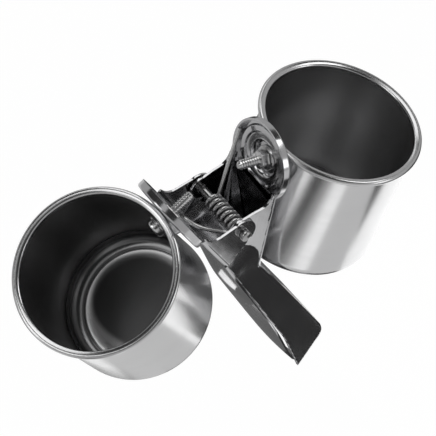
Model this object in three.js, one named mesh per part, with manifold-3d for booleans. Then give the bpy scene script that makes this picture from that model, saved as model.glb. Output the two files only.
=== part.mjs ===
// Clip-on twin-cup bird feeder: two drawn steel cups, each bolted to the dished pad of one lever of
// a sheet-metal clip. The levers turn on a pivot pin, and a torsion spring is wound round the pin.
// Millimetres, +Z up. The pivot pin runs along Y. The origin is where the axes of the two cup bolts
// cross, in the middle of the jaw gap that takes the perch.
import * as THREE from "three";
import { mergeVertices } from "three/addons/utils/BufferGeometryUtils.js";
import Module from "manifold-3d";

const wasm = await Module();
wasm.setup();

const DEGREE = Math.PI / 180;

// Clearances
const SEAT = 0.3; // between pieces that bear on each other
const RUN = 0.35; // round a pin or a bolt in its hole
const NEST = 0.4; // between the inner and the outer ears
const HANDLE_STOP = 0.8; // between the inner handle's edges and the outer handle, squeezed together

// Clip levers, in the frame of one lever: X is the inward normal, Y the pivot, Z up the lever
const JAW_HALF_ANGLE = 20.5 * DEGREE; // each lever leans out by this much
const SHEET = 1.2;
const BEND_RADIUS = 2.2; // outside radius of the folds
const PIN_OFFSET = 16; // pivot axis to the inner face of a lever
const OUTER_HALF_WIDTH = 19.5; // outside of the outer ears
const EAR_RADIUS = 7;
const EAR_TOP = 9.5;
const EAR_FOOT = -10;
const INNER_EAR_RADIUS = 6.2;

// Dished pads
const PAD_RADIUS = 20;
const PAD_HEIGHT = 24.2; // pad centre above the pivot
const PAD_DEPTH = 2.8;
const PAD_CORNER = 1.6;
const BOSS_RADIUS = 7.6;
const BOSS_DRAFT = 0.8;

// Outer handle: a shallow gutter with a tongue-shaped end
const HANDLE_BEND = -8; // height of the slight outward bend
const HANDLE_SLOPE = 0.07;
const GUTTER_TOP = -16;
const GUTTER_FULL = -44; // height where the gutter has its full depth
const GUTTER_DEPTH = 4.2;
const TONGUE_START = -66;
const HANDLE_END = -140;
const TONGUE_TIP_HALF_WIDTH = 5;
const TONGUE_TIP_ROUNDING = 0.75;
const TONGUE_TIP_LIFT = 1.05; // share of the gutter's depth that the tip loses as it turns up

// Inner handle: a channel that bends to lie along the outer one
const KNEE_HEIGHT = -26; // lever height of the bend
const KNEE_RADIUS = 6;
const INNER_HANDLE_LENGTH = 76; // from the knee to the end of the web
const INNER_EDGE_SLOPE = 0.045;
const INNER_FLANGE_LEAD = 7; // how far the flange edge runs past the web
const INNER_FLANGE_CORNER = 4;

// Cups
const RIM_ROLL = 2.8; // the rolled rim stands out past the wall
const CUP_RADIUS = 37.2;
const CUP_HEIGHT = 74.5;
const CUP_WALL = 1;
const CUP_CORNER = 9;
const RIM_BEAD = 1.5; // radius of the rolled rim
const FLOOR_RING_RADIUS = 26;
const FLOOR_RING_STEP = 0.8;
const BOLT_DROP = 12.3; // bolt axis below the rim
const LEFT_CUP_TURN = 14 * DEGREE; // cups swing on their bolts
const RIGHT_CUP_TURN = 9 * DEGREE;

// Fasteners
const BOLT_RADIUS = 2.4;
const BOLT_REACH = 16.8; // bolt tip past the boss
const BOLT_TIP_CHAMFER = 0.6;
const HEAD_RADIUS = 4.75;
const HEAD_HEIGHT = 2.8;
const NUT_FLATS = 8;
const NUT_HEIGHT = 4;
const WASHER_RADIUS = 6;
const WASHER_THICKNESS = 1;
const PIN_RADIUS = 2.1;
const PIN_OVERHANG = 2.8; // past the outer ears
const PIN_HEAD_RADIUS = 2.75; // ends upset over the ears
const PIN_HEAD_LENGTH = 2.2;

// Torsion spring
const WIRE_RADIUS = 1;
const COIL_RADIUS = 3.6; // middle of the wire
const COIL_PITCH = 3.05;
const COIL_TURNS = 7; // whole turns between the legs
const COIL_SIDE_GAP = 0.7; // to the near inner ear
const LEG_SIDE = 2.2; // leg ends beside the bolt axes
const WIRE_SIDES = 5;
const TURN_STEPS = 8;
const LEG_STEPS = 6;

// Smoothness
const ROUND_STEPS = 40;
const ARC_STEPS = 4;

// Worked out from the above
const RIM_RADIUS = CUP_RADIUS + RIM_ROLL;
const INNER_HALF_WIDTH = OUTER_HALF_WIDTH - SHEET - NEST;
const PAD_FACE = -PIN_OFFSET - PAD_DEPTH; // inner face of the pad's flat ring
const BOSS_FACE = PAD_FACE - RIM_ROLL; // the boss reaches the cup wall
const CUP_AXIS = PAD_FACE - SHEET - SEAT - RIM_RADIUS; // the rolled rim bears on the pad
const BOLT_TIP = BOSS_FACE + BOLT_REACH;
const NUT_SEAT = BOSS_FACE + 2 * SEAT + WASHER_THICKNESS; // the nut stands on its washer
const NUT_FACE = NUT_SEAT + NUT_HEIGHT;
const HOLE_RADIUS = BOLT_RADIUS + RUN;
const PIN_HOLE_RADIUS = PIN_RADIUS + RUN;
const GRIP_HEIGHT = PAD_HEIGHT / Math.cos(JAW_HALF_ANGLE); // bolt axes cross here, above the pivot

const STEEL = 0xc9cbcc;
const material = (roughness) =>
  new THREE.MeshStandardMaterial({ color: STEEL, metalness: 1, roughness });
const polished = material(0.16);
const pressed = material(0.22);
const plated = material(0.3);
const springWire = material(0.34);

// A closed geometry as a solid with its faces outwards.
function solid(geometry) {
  const bare = geometry.clone();
  bare.deleteAttribute("normal");
  bare.deleteAttribute("uv");
  const merged = mergeVertices(bare, 1e-4);
  const mesh = (triVerts) =>
    new wasm.Manifold(
      new wasm.Mesh({
        numProp: 3,
        vertProperties: new Float32Array(merged.attributes.position.array),
        triVerts,
      }),
    );
  const made = mesh(new Uint32Array(merged.index.array));
  return made.volume() > 0 ? made : mesh(new Uint32Array(merged.index.array).reverse());
}

// A solid as a geometry for a mesh.
function geometryOf(body) {
  const { vertProperties, triVerts } = body.getMesh();
  const geometry = new THREE.BufferGeometry();
  geometry.setAttribute("position", new THREE.BufferAttribute(vertProperties, 3));
  geometry.setIndex(new THREE.BufferAttribute(triVerts, 1));
  return geometry;
}

// A profile of radius and height turned about Z.
function turned(profile, steps = ROUND_STEPS) {
  const points = profile.map(([radius, height]) => new THREE.Vector2(radius, height));
  return solid(new THREE.LatheGeometry(points, steps).rotateX(Math.PI / 2));
}

// A profile of radius and depth turned about X, at a height up the lever.
function turnedAboutBolt(profile, height, steps = ROUND_STEPS) {
  const points = profile.map(([radius, depth]) => new THREE.Vector2(radius, depth));
  const geometry = new THREE.LatheGeometry(points, steps).rotateZ(-Math.PI / 2);
  return solid(geometry.translate(0, 0, height));
}

// A rod of a radius along Y about the pivot.
function pivotRod(radius, halfLength, steps = 24) {
  return solid(new THREE.CylinderGeometry(radius, radius, 2 * halfLength, steps));
}

// A rod of a radius along X from one depth to another, about the bolt axis at a height.
function boltRod(radius, from, to, height, steps = 24) {
  const geometry = new THREE.CylinderGeometry(radius, radius, to - from, steps);
  return solid(geometry.rotateZ(Math.PI / 2).translate((from + to) / 2, 0, height));
}

// An outline in the X-Z plane of a lever, as wide along Y as the lever and more.
function sidePrism(outline) {
  const width = 2 * (OUTER_HALF_WIDTH + PAD_RADIUS);
  const geometry = new THREE.ExtrudeGeometry(outline, {
    depth: width,
    bevelEnabled: false,
    curveSegments: 2 * ARC_STEPS,
  });
  return solid(geometry.rotateX(Math.PI / 2).translate(0, width / 2, 0));
}

function polygon(points) {
  return new THREE.Shape(points.map(([x, y]) => new THREE.Vector2(x, y)));
}

// Rings of the same number of points, joined in order and capped at both ends.
function loft(rings) {
  const count = rings[0].length;
  const positions = rings.flat(2);
  const triangles = [];
  for (let ring = 0; ring + 1 < rings.length; ring++) {
    for (let i = 0; i < count; i++) {
      const next = (i + 1) % count;
      const a = ring * count + i;
      const b = ring * count + next;
      triangles.push(a, b, b + count, a, b + count, a + count);
    }
  }
  const cap = (ring, flat) => {
    for (const [a, b, c] of THREE.ShapeUtils.triangulateShape(flat, [])) {
      const start = ring * count;
      if (ring === 0) triangles.push(start + a, start + c, start + b);
      else triangles.push(start + a, start + b, start + c);
    }
  };
  const ends = [0, rings.length - 1];
  for (const ring of ends) cap(ring, flatRing(rings[ring]));
  const geometry = new THREE.BufferGeometry();
  geometry.setAttribute("position", new THREE.Float32BufferAttribute(positions, 3));
  geometry.setIndex(triangles);
  return solid(geometry);
}

// The points of a plane ring in two axes of its own plane.
function flatRing(ring) {
  const points = ring.map((p) => new THREE.Vector3(...p));
  const centre = points.reduce((sum, p) => sum.add(p), new THREE.Vector3()).divideScalar(points.length);
  const normal = new THREE.Vector3();
  points.forEach((p, i) => {
    const next = points[(i + 1) % points.length];
    normal.add(p.clone().sub(centre).cross(next.clone().sub(centre)));
  });
  normal.normalize();
  const across = points[0].clone().sub(centre).normalize();
  const along = normal.clone().cross(across);
  return points.map((p) => {
    const offset = p.clone().sub(centre);
    return new THREE.Vector2(offset.dot(across), offset.dot(along));
  });
}

// The folded section of a lever, as points of Y and of height over its inner face.
function channelSection(halfWidth, flangeHeight) {
  const inner = BEND_RADIUS - SHEET;
  const bendY = halfWidth - BEND_RADIUS;
  const bendHeight = BEND_RADIUS - SHEET;
  const shape = new THREE.Shape();
  shape.moveTo(halfWidth, flangeHeight);
  shape.absarc(bendY, bendHeight, BEND_RADIUS, 0, -Math.PI / 2, true);
  shape.absarc(-bendY, bendHeight, BEND_RADIUS, -Math.PI / 2, -Math.PI, true);
  shape.lineTo(-halfWidth, flangeHeight);
  shape.lineTo(-halfWidth + SHEET, flangeHeight);
  shape.absarc(-bendY, bendHeight, inner, Math.PI, (3 * Math.PI) / 2, false);
  shape.absarc(bendY, bendHeight, inner, -Math.PI / 2, 0, false);
  shape.lineTo(halfWidth - SHEET, flangeHeight);
  return shape.extractPoints(ARC_STEPS).shape.map((p) => [p.x, p.y]);
}

// A section of Y and height, carried along stations of a point and an inward normal in X and Z.
function swept(section, stations) {
  return loft(
    stations.map(({ x, z, turn }) =>
      section.map(([y, height]) => [
        x + height * Math.cos(turn),
        y,
        z + height * Math.sin(turn),
      ]),
    ),
  );
}

// The ear that holds the pin, with its foot on the lever's inner face.
function earOutline(radius, foot) {
  const back = -PIN_OFFSET - 2 * SHEET;
  const shape = new THREE.Shape();
  shape.moveTo(back, EAR_TOP);
  shape.lineTo(-PIN_OFFSET, EAR_TOP);
  shape.absarc(0, 0, radius, Math.PI / 2, -Math.PI / 2, true);
  shape.lineTo(-PIN_OFFSET, foot);
  shape.lineTo(back, foot);
  return shape;
}

// A round pad, dished towards the cup, with a boss at its middle for the bolt.
function dishedPad() {
  const ring = PAD_RADIUS - SHEET;
  const path = new THREE.Path();
  path.moveTo(HOLE_RADIUS, BOSS_FACE);
  path.lineTo(BOSS_RADIUS, BOSS_FACE);
  path.lineTo(BOSS_RADIUS + BOSS_DRAFT, PAD_FACE);
  path.lineTo(ring - PAD_CORNER, PAD_FACE);
  path.quadraticCurveTo(ring, PAD_FACE, ring, PAD_FACE + PAD_CORNER);
  path.lineTo(ring, -PIN_OFFSET);
  path.lineTo(PAD_RADIUS, -PIN_OFFSET);
  path.lineTo(PAD_RADIUS, PAD_FACE + PAD_CORNER);
  path.quadraticCurveTo(PAD_RADIUS, PAD_FACE - SHEET, ring - PAD_CORNER, PAD_FACE - SHEET);
  path.lineTo(BOSS_RADIUS + BOSS_DRAFT + SHEET, PAD_FACE - SHEET);
  path.lineTo(BOSS_RADIUS + SHEET, BOSS_FACE - SHEET);
  path.lineTo(HOLE_RADIUS, BOSS_FACE - SHEET);
  path.closePath();
  const profile = path.getPoints(ARC_STEPS).map((p) => [p.x, p.y]);
  return turnedAboutBolt(profile, PAD_HEIGHT);
}

// What a pad takes out of the flat of its lever.
function padOpening() {
  return boltRod(PAD_RADIUS - SHEET / 2, -2 * PIN_OFFSET, 2 * PIN_OFFSET, PAD_HEIGHT, ROUND_STEPS);
}

// Inner face of the outer lever's handle, at its edges, at a height.
function handleEdge(z) {
  return -PIN_OFFSET - HANDLE_SLOPE * Math.max(0, HANDLE_BEND - z);
}

// The gutter of the outer handle, from the flat of the lever to its tongue end.
function gutter() {
  const acrossSteps = 12;
  const rampSteps = 6;
  const tongueSteps = 10;
  const heights = [];
  for (let i = 0; i <= rampSteps; i++) {
    heights.push(GUTTER_TOP + ((GUTTER_FULL - GUTTER_TOP) * i) / rampSteps);
  }
  const tipAngle = Math.acos(TONGUE_TIP_HALF_WIDTH / OUTER_HALF_WIDTH);
  const tongueLength = TONGUE_START - HANDLE_END;
  for (let i = 0; i <= tongueSteps; i++) {
    heights.push(TONGUE_START - tongueLength * Math.sin((Math.PI * i) / (2 * tongueSteps)));
  }
  const rings = heights.map((z) => {
    const share = Math.min(1, (GUTTER_TOP - z) / (GUTTER_TOP - GUTTER_FULL));
    const tongue = Math.max(0, TONGUE_START - z) / tongueLength;
    const lift = 1 - TONGUE_TIP_LIFT * tongue ** 4;
    const depth = GUTTER_DEPTH * share * share * (3 - 2 * share) * lift;
    const rounding = Math.sqrt(1 - TONGUE_TIP_ROUNDING * tongue ** 10);
    const halfWidth = OUTER_HALF_WIDTH * Math.cos(tipAngle * tongue) * rounding;
    const floor = (y) => handleEdge(z) - depth * (1 - (y / OUTER_HALF_WIDTH) ** 2);
    const row = (offset) =>
      Array.from({ length: acrossSteps + 1 }, (_, i) => {
        const y = halfWidth * ((2 * i) / acrossSteps - 1);
        return [floor(y) - offset, y, z];
      });
    return [...row(0), ...row(SHEET).reverse()];
  });
  return loft(rings);
}

// The lever whose ears are outside, with the gutter handle.
function outerLever() {
  const foot = GUTTER_TOP - 1;
  const stations = [PAD_HEIGHT, HANDLE_BEND, foot].map((z) => ({ x: handleEdge(z), z, turn: 0 }));
  const channel = swept(channelSection(OUTER_HALF_WIDTH, PIN_OFFSET + EAR_RADIUS), stations);
  const flat = polygon([
    [-PIN_OFFSET - 3 * SHEET, PAD_HEIGHT + 1],
    [-PIN_OFFSET + SHEET / 4, PAD_HEIGHT + 1],
    [-PIN_OFFSET + SHEET / 4, HANDLE_BEND],
    [handleEdge(foot) + SHEET / 4, foot - 1],
    [-PIN_OFFSET - 3 * SHEET, foot - 1],
  ]);
  const side = sidePrism(earOutline(EAR_RADIUS, EAR_FOOT)).add(sidePrism(flat));
  return channel
    .intersect(side)
    .add(gutter())
    .subtract(padOpening())
    .add(dishedPad())
    .subtract(pivotRod(PIN_HOLE_RADIUS, 2 * OUTER_HALF_WIDTH));
}

// A point of the outer lever's frame, in X and Z, seen in the inner lever's frame.
function toInnerLever(x, z) {
  const cos = Math.cos(2 * JAW_HALF_ANGLE);
  const sin = Math.sin(2 * JAW_HALF_ANGLE);
  return [-x * cos + z * sin, x * sin + z * cos];
}

// The lever whose ears are inside, with the channel handle that bends to nest in the other.
function innerLever() {
  const bend = 2 * JAW_HALF_ANGLE;
  const kneeTop = KNEE_HEIGHT + KNEE_RADIUS * Math.tan(bend / 2);
  const kneeSteps = 6;
  const stations = [{ x: -PIN_OFFSET, z: PAD_HEIGHT, turn: 0 }];
  const centreX = -PIN_OFFSET - SHEET - KNEE_RADIUS;
  const radius = KNEE_RADIUS + SHEET;
  for (let i = 0; i <= kneeSteps; i++) {
    const turn = (-bend * i) / kneeSteps;
    stations.push({
      x: centreX + radius * Math.cos(turn),
      z: kneeTop + radius * Math.sin(turn),
      turn,
    });
  }
  const knee = stations[stations.length - 1];
  const reach = INNER_HANDLE_LENGTH + INNER_FLANGE_LEAD;
  const along = [-Math.sin(bend), -Math.cos(bend)];
  stations.push({ x: knee.x + reach * along[0], z: knee.z + reach * along[1], turn: -bend });
  const channel = swept(
    channelSection(INNER_HALF_WIDTH, PIN_OFFSET + INNER_EAR_RADIUS),
    stations,
  );

  // The flange runs down from the ear to an edge that lies along the outer handle.
  const edge = (z) => {
    const slope = INNER_EDGE_SLOPE * Math.max(0, HANDLE_BEND - z);
    return toInnerLever(-PIN_OFFSET + HANDLE_STOP - slope, z);
  };
  const flangeTop = EAR_FOOT;
  const webEnd = [
    knee.x + INNER_HANDLE_LENGTH * along[0],
    knee.z + INNER_HANDLE_LENGTH * along[1],
  ];
  const outward = [Math.cos(bend), -Math.sin(bend)];
  const past = (point, out, down) => [
    point[0] + out * outward[0] + down * along[0],
    point[1] + out * outward[1] + down * along[1],
  ];
  const [kneeX, kneeZ] = [knee.x, knee.z];
  const endOfEdge = toOuterHeight(webEnd) - INNER_FLANGE_LEAD;
  const roundedEnd = [1, 0.75, 0.5, 0.25, 0].map((share) => {
    const angle = (share * Math.PI) / 2;
    const out = INNER_FLANGE_CORNER * (1 - Math.cos(angle));
    return past(webEnd, out, INNER_FLANGE_CORNER * Math.sin(angle));
  });
  const flange = polygon([
    [-PIN_OFFSET - 2 * SHEET, EAR_TOP],
    [0, INNER_EAR_RADIUS],
    [-INNER_EAR_RADIUS * Math.cos(bend), -INNER_EAR_RADIUS * Math.sin(bend)],
    edge(flangeTop),
    edge(endOfEdge),
    ...roundedEnd,
    past(webEnd, -2 * SHEET, 0),
    [kneeX - 2 * SHEET * Math.cos(bend), kneeZ + 2 * SHEET * Math.sin(bend)],
    [-PIN_OFFSET - 2 * SHEET, kneeTop],
  ]);
  const flat = polygon([
    [-PIN_OFFSET - 2 * SHEET, PAD_HEIGHT + 1],
    [-PIN_OFFSET + SHEET / 4, PAD_HEIGHT + 1],
    [-PIN_OFFSET + SHEET / 4, 0],
    [-PIN_OFFSET - 2 * SHEET, 0],
  ]);
  const side = sidePrism(flange)
    .add(sidePrism(earOutline(INNER_EAR_RADIUS, EAR_FOOT)))
    .add(sidePrism(flat));
  return channel
    .intersect(side)
    .subtract(padOpening())
    .add(dishedPad())
    .subtract(pivotRod(PIN_HOLE_RADIUS, 2 * OUTER_HALF_WIDTH));
}

// Height in the outer lever's frame of a point of the inner lever's frame.
function toOuterHeight([x, z]) {
  return x * Math.sin(2 * JAW_HALF_ANGLE) + z * Math.cos(2 * JAW_HALF_ANGLE);
}

// A drawn cup with a rolled rim, standing on Z = 0, with its bolt hole on the +X side.
function cup() {
  const inside = CUP_RADIUS - CUP_WALL;
  const beadMiddle = RIM_RADIUS - RIM_BEAD;
  const path = new THREE.Path();
  path.moveTo(0, 0);
  path.lineTo(CUP_RADIUS - CUP_CORNER, 0);
  path.absarc(CUP_RADIUS - CUP_CORNER, CUP_CORNER, CUP_CORNER, -Math.PI / 2, 0, false);
  path.lineTo(CUP_RADIUS, CUP_HEIGHT - 2 * RIM_BEAD);
  path.absarc(beadMiddle, CUP_HEIGHT - RIM_BEAD, RIM_BEAD, -Math.PI / 2, Math.PI / 2, false);
  path.quadraticCurveTo(inside, CUP_HEIGHT, inside, CUP_HEIGHT - RIM_BEAD);
  path.lineTo(inside, CUP_CORNER);
  path.absarc(
    CUP_RADIUS - CUP_CORNER,
    CUP_CORNER,
    CUP_CORNER - CUP_WALL,
    0,
    -Math.PI / 2,
    true,
  );
  path.lineTo(FLOOR_RING_RADIUS, CUP_WALL);
  path.lineTo(FLOOR_RING_RADIUS - FLOOR_RING_STEP, CUP_WALL + FLOOR_RING_STEP);
  path.lineTo(0, CUP_WALL + FLOOR_RING_STEP);
  const shell = turned(path.getPoints(ARC_STEPS).map((p) => [p.x, p.y]));
  const hole = boltRod(HOLE_RADIUS, 0, 2 * CUP_RADIUS, CUP_HEIGHT - BOLT_DROP);
  return shell.subtract(hole);
}

// The inner face of the cup washer clears the curve of the wall by a seat.
function cupWasherFace() {
  const inside = CUP_RADIUS - CUP_WALL;
  return CUP_AXIS + Math.sqrt(inside ** 2 - WASHER_RADIUS ** 2) - SEAT;
}

function washer(from) {
  const profile = [
    [HOLE_RADIUS, from],
    [WASHER_RADIUS, from],
    [WASHER_RADIUS, from + WASHER_THICKNESS],
    [HOLE_RADIUS, from + WASHER_THICKNESS],
    [HOLE_RADIUS, from],
  ];
  return turnedAboutBolt(profile, PAD_HEIGHT, 24);
}

// A bolt with a pan head inside the cup and its thread through the pad.
function bolt() {
  const face = cupWasherFace() - WASHER_THICKNESS - SEAT;
  const path = new THREE.Path();
  path.moveTo(0, face - HEAD_HEIGHT);
  path.quadraticCurveTo(HEAD_RADIUS, face - HEAD_HEIGHT, HEAD_RADIUS, face - HEAD_HEIGHT / 3);
  path.lineTo(HEAD_RADIUS, face);
  path.lineTo(BOLT_RADIUS, face);
  path.lineTo(BOLT_RADIUS, BOLT_TIP - BOLT_TIP_CHAMFER);
  path.lineTo(BOLT_RADIUS - BOLT_TIP_CHAMFER, BOLT_TIP);
  path.lineTo(0, BOLT_TIP);
  return turnedAboutBolt(path.getPoints(ARC_STEPS).map((p) => [p.x, p.y]), PAD_HEIGHT, 24);
}

// A hexagon nut on its washer in the boss.
function nut() {
  const corner = NUT_FLATS / Math.sqrt(3);
  const outline = polygon(
    Array.from({ length: 6 }, (_, i) => [
      corner * Math.cos((i * Math.PI) / 3),
      corner * Math.sin((i * Math.PI) / 3),
    ]),
  );
  const bore = new THREE.Path();
  bore.absarc(0, 0, HOLE_RADIUS, 0, 2 * Math.PI, false);
  outline.holes.push(bore);
  const geometry = new THREE.ExtrudeGeometry(outline, {
    depth: NUT_HEIGHT,
    bevelEnabled: false,
    curveSegments: 12,
  });
  return solid(geometry.rotateY(Math.PI / 2).translate(NUT_SEAT, 0, PAD_HEIGHT));
}

// The pivot pin, its ends upset so that it stays in the ears.
function pivotPin() {
  const end = OUTER_HALF_WIDTH + PIN_OVERHANG;
  const neck = OUTER_HALF_WIDTH + SEAT;
  const profile = [
    [0, -end],
    [PIN_HEAD_RADIUS - RUN, -end],
    [PIN_HEAD_RADIUS, -end + RUN],
    [PIN_HEAD_RADIUS, -Math.max(neck, end - PIN_HEAD_LENGTH)],
    [PIN_RADIUS, -neck],
    [PIN_RADIUS, neck],
    [PIN_HEAD_RADIUS, Math.max(neck, end - PIN_HEAD_LENGTH)],
    [PIN_HEAD_RADIUS, end - RUN],
    [PIN_HEAD_RADIUS - RUN, end],
    [0, end],
  ];
  const points = profile.map(([radius, y]) => new THREE.Vector2(radius, y));
  return solid(new THREE.LatheGeometry(points, 24));
}

// A spring leg in its lever's frame, from the coil's side to the face of the nut.
function legPath(coilY, endY) {
  const face = NUT_FACE + WIRE_RADIUS + SEAT;
  const top = PAD_HEIGHT - BOLT_RADIUS - WIRE_RADIUS - SEAT;
  const straight = 2 * WIRE_RADIUS;
  const curve = new THREE.CubicBezierCurve3(
    new THREE.Vector3(-COIL_RADIUS, coilY, 0),
    new THREE.Vector3(-COIL_RADIUS, coilY, COIL_RADIUS),
    new THREE.Vector3(face, (coilY + endY) / 2, COIL_RADIUS + top / 4),
    new THREE.Vector3(face, endY, top - straight),
  );
  const points = curve.getPoints(LEG_STEPS);
  points.push(points[LEG_STEPS].clone().setZ(top));
  return points;
}

// The middle of the spring's wire, in the outer lever's frame: a leg, the turns and the other leg.
function springPath() {
  const nearY = -(INNER_HALF_WIDTH - SHEET - WIRE_RADIUS - COIL_SIDE_GAP);
  const sweep = 2 * Math.PI * COIL_TURNS + Math.PI - 2 * JAW_HALF_ANGLE;
  const count = Math.round((sweep * TURN_STEPS) / (2 * Math.PI));
  const farY = nearY + (COIL_PITCH * sweep) / (2 * Math.PI);
  const turns = [];
  for (let i = 1; i < count; i++) {
    const angle = Math.PI + (sweep * i) / count;
    const y = nearY + ((farY - nearY) * i) / count;
    turns.push(new THREE.Vector3(COIL_RADIUS * Math.cos(angle), y, COIL_RADIUS * Math.sin(angle)));
  }
  const nearLeg = legPath(nearY, -LEG_SIDE);
  const farLeg = legPath(farY, LEG_SIDE).map(({ x, y, z }) => {
    const [outerX, outerZ] = toInnerLever(x, z);
    return new THREE.Vector3(outerX, y, outerZ);
  });
  return [...nearLeg.reverse(), ...turns, ...farLeg];
}

// One unbroken tube of wire along the path.
function springTube(path) {
  const rings = [];
  let across = null;
  path.forEach((point, i) => {
    const before = path[Math.max(0, i - 1)];
    const after = path[Math.min(path.length - 1, i + 1)];
    const along = after.clone().sub(before).normalize();
    if (!across) {
      across = new THREE.Vector3(0, 1, 0).cross(along).normalize();
    }
    across = across.sub(along.clone().multiplyScalar(across.dot(along))).normalize();
    const other = along.clone().cross(across);
    rings.push(
      Array.from({ length: WIRE_SIDES }, (_, side) => {
        const angle = (2 * Math.PI * side) / WIRE_SIDES;
        return point
          .clone()
          .addScaledVector(across, WIRE_RADIUS * Math.cos(angle))
          .addScaledVector(other, WIRE_RADIUS * Math.sin(angle))
          .toArray();
      }),
    );
  });
  return loft(rings);
}

// Least gap of the wire to itself, over points more than one turn's third apart along it.
function leastGap(path) {
  let least = Infinity;
  const fine = [];
  for (let i = 0; i + 1 < path.length; i++) {
    for (let part = 0; part < 4; part++) fine.push(path[i].clone().lerp(path[i + 1], part / 4));
  }
  const lengths = [0];
  for (let i = 1; i < fine.length; i++) lengths.push(lengths[i - 1] + fine[i].distanceTo(fine[i - 1]));
  for (let i = 0; i < fine.length; i++) {
    for (let j = i + 1; j < fine.length; j++) {
      if (lengths[j] - lengths[i] < Math.PI * COIL_RADIUS) continue;
      least = Math.min(least, fine[i].distanceTo(fine[j]) - 2 * WIRE_RADIUS);
    }
  }
  return least;
}

const feeder = new THREE.Group();

function piece(parent, name, body, finish) {
  const mesh = new THREE.Mesh(geometryOf(body), finish);
  mesh.name = name;
  parent.add(mesh);
  return mesh;
}

// A lever's frame: the outer one leans left, the inner one faces it and leans right.
const outerSide = new THREE.Group();
outerSide.rotation.y = -JAW_HALF_ANGLE;
const innerLean = new THREE.Group();
innerLean.rotation.y = JAW_HALF_ANGLE;
const innerSide = new THREE.Group();
innerSide.rotation.z = Math.PI;
innerLean.add(innerSide);
for (const side of [outerSide, innerLean]) {
  side.position.z = -GRIP_HEIGHT;
  feeder.add(side);
}

piece(outerSide, "left_lever", outerLever(), pressed);
piece(innerSide, "right_lever", innerLever(), pressed);
piece(outerSide, "pivot_pin", pivotPin(), plated);
const wirePath = springPath();
piece(outerSide, "torsion_spring", springTube(wirePath), springWire);
console.log("least gap of the spring to itself: " + leastGap(wirePath).toFixed(2) + " mm");

const cupSides = [
  { name: "left", side: outerSide, turn: LEFT_CUP_TURN },
  { name: "right", side: innerSide, turn: -RIGHT_CUP_TURN },
];
for (const { name, side, turn } of cupSides) {
  const swivel = new THREE.Group();
  swivel.position.set(CUP_AXIS, 0, PAD_HEIGHT);
  swivel.rotation.x = turn;
  side.add(swivel);
  piece(swivel, name + "_cup", cup(), polished).position.z = BOLT_DROP - CUP_HEIGHT;
  piece(side, name + "_cup_washer", washer(cupWasherFace() - WASHER_THICKNESS), plated);
  piece(side, name + "_bolt", bolt(), plated);
  piece(side, name + "_nut_washer", washer(BOSS_FACE + SEAT), plated);
  piece(side, name + "_nut", nut(), plated);
}

export default feeder;
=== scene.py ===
from math import acos, cos, pi, radians, sin, sqrt, tan

import bmesh
import bpy
from mathutils import Matrix, Vector


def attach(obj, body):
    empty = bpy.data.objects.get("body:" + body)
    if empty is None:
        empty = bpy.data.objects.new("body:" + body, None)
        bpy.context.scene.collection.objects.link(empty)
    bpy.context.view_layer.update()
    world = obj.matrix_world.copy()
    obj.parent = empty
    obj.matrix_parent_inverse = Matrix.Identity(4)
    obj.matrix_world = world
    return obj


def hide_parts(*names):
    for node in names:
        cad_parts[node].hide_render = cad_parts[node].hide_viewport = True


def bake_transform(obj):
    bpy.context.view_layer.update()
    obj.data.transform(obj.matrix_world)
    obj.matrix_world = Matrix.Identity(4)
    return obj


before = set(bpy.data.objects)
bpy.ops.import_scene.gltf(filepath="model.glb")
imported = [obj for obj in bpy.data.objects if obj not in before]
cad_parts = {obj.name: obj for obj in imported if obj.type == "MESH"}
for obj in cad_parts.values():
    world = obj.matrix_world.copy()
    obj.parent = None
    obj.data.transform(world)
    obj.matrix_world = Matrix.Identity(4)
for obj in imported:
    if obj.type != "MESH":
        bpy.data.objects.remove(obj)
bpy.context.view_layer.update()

MILLIMETRE = 0.001
SIDES = ("left", "right")
JAW = {"left": "left_jaw", "right": "right_jaw"}
CUP = {"left": "left_cup", "right": "right_cup"}

# Sizes as in the solids: millimetres, with turns in radians
LEAN = radians(20.5)
SHEET = 1.2
BEND_RADIUS = 2.2
PIN_OFFSET = 16.0
OUTER_HALF_WIDTH = 19.5
INNER_HALF_WIDTH = 17.9
EAR_RADIUS = 7.0
INNER_EAR_RADIUS = 6.2
EAR_TOP = 9.5
EAR_FOOT = -10.0
PAD_RADIUS = 20.0
PAD_HEIGHT = 24.2
PAD_DEPTH = 2.8
BOSS_RADIUS = 7.6
BOSS_DRAFT = 0.8
RIM_ROLL = 2.8
HANDLE_BEND = -8.0
HANDLE_SLOPE = 0.07
GUTTER_TOP = -16.0
GUTTER_FULL = -44.0
GUTTER_DEPTH = 4.2
TONGUE_START = -66.0
HANDLE_END = -140.0
TONGUE_TIP_HALF_WIDTH = 5.0
TONGUE_TIP_ROUNDING = 0.75
TONGUE_TIP_LIFT = 1.05
KNEE_HEIGHT = -26.0
KNEE_RADIUS = 6.0
CUP_RADIUS = 37.2
CUP_HEIGHT = 74.5
CUP_WALL = 1.0
CUP_CORNER = 9.0
RIM_BEAD = 1.5
FLOOR_RING_STEP = 0.8
BOLT_DROP = 12.3
CUP_TURN = {"left": radians(14), "right": radians(-9)}
SEAT = 0.3
RUN = 0.35
BOLT_RADIUS = 2.4
BOLT_REACH = 16.8
HEAD_RADIUS = 4.75
HEAD_HEIGHT = 2.8
NUT_FLATS = 8.0
NUT_HEIGHT = 4.0
WASHER_RADIUS = 6.0
WASHER_THICKNESS = 1.0
PIN_RADIUS = 2.1
PIN_OVERHANG = 2.8
PIN_HEAD_RADIUS = 2.75
PIN_HEAD_LENGTH = 2.2
WIRE_RADIUS = 1.0
COIL_RADIUS = 3.6
COIL_PITCH = 3.05
COIL_TURNS = 7
COIL_SIDE_GAP = 0.7
LEG_SIDE = 2.2

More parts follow.
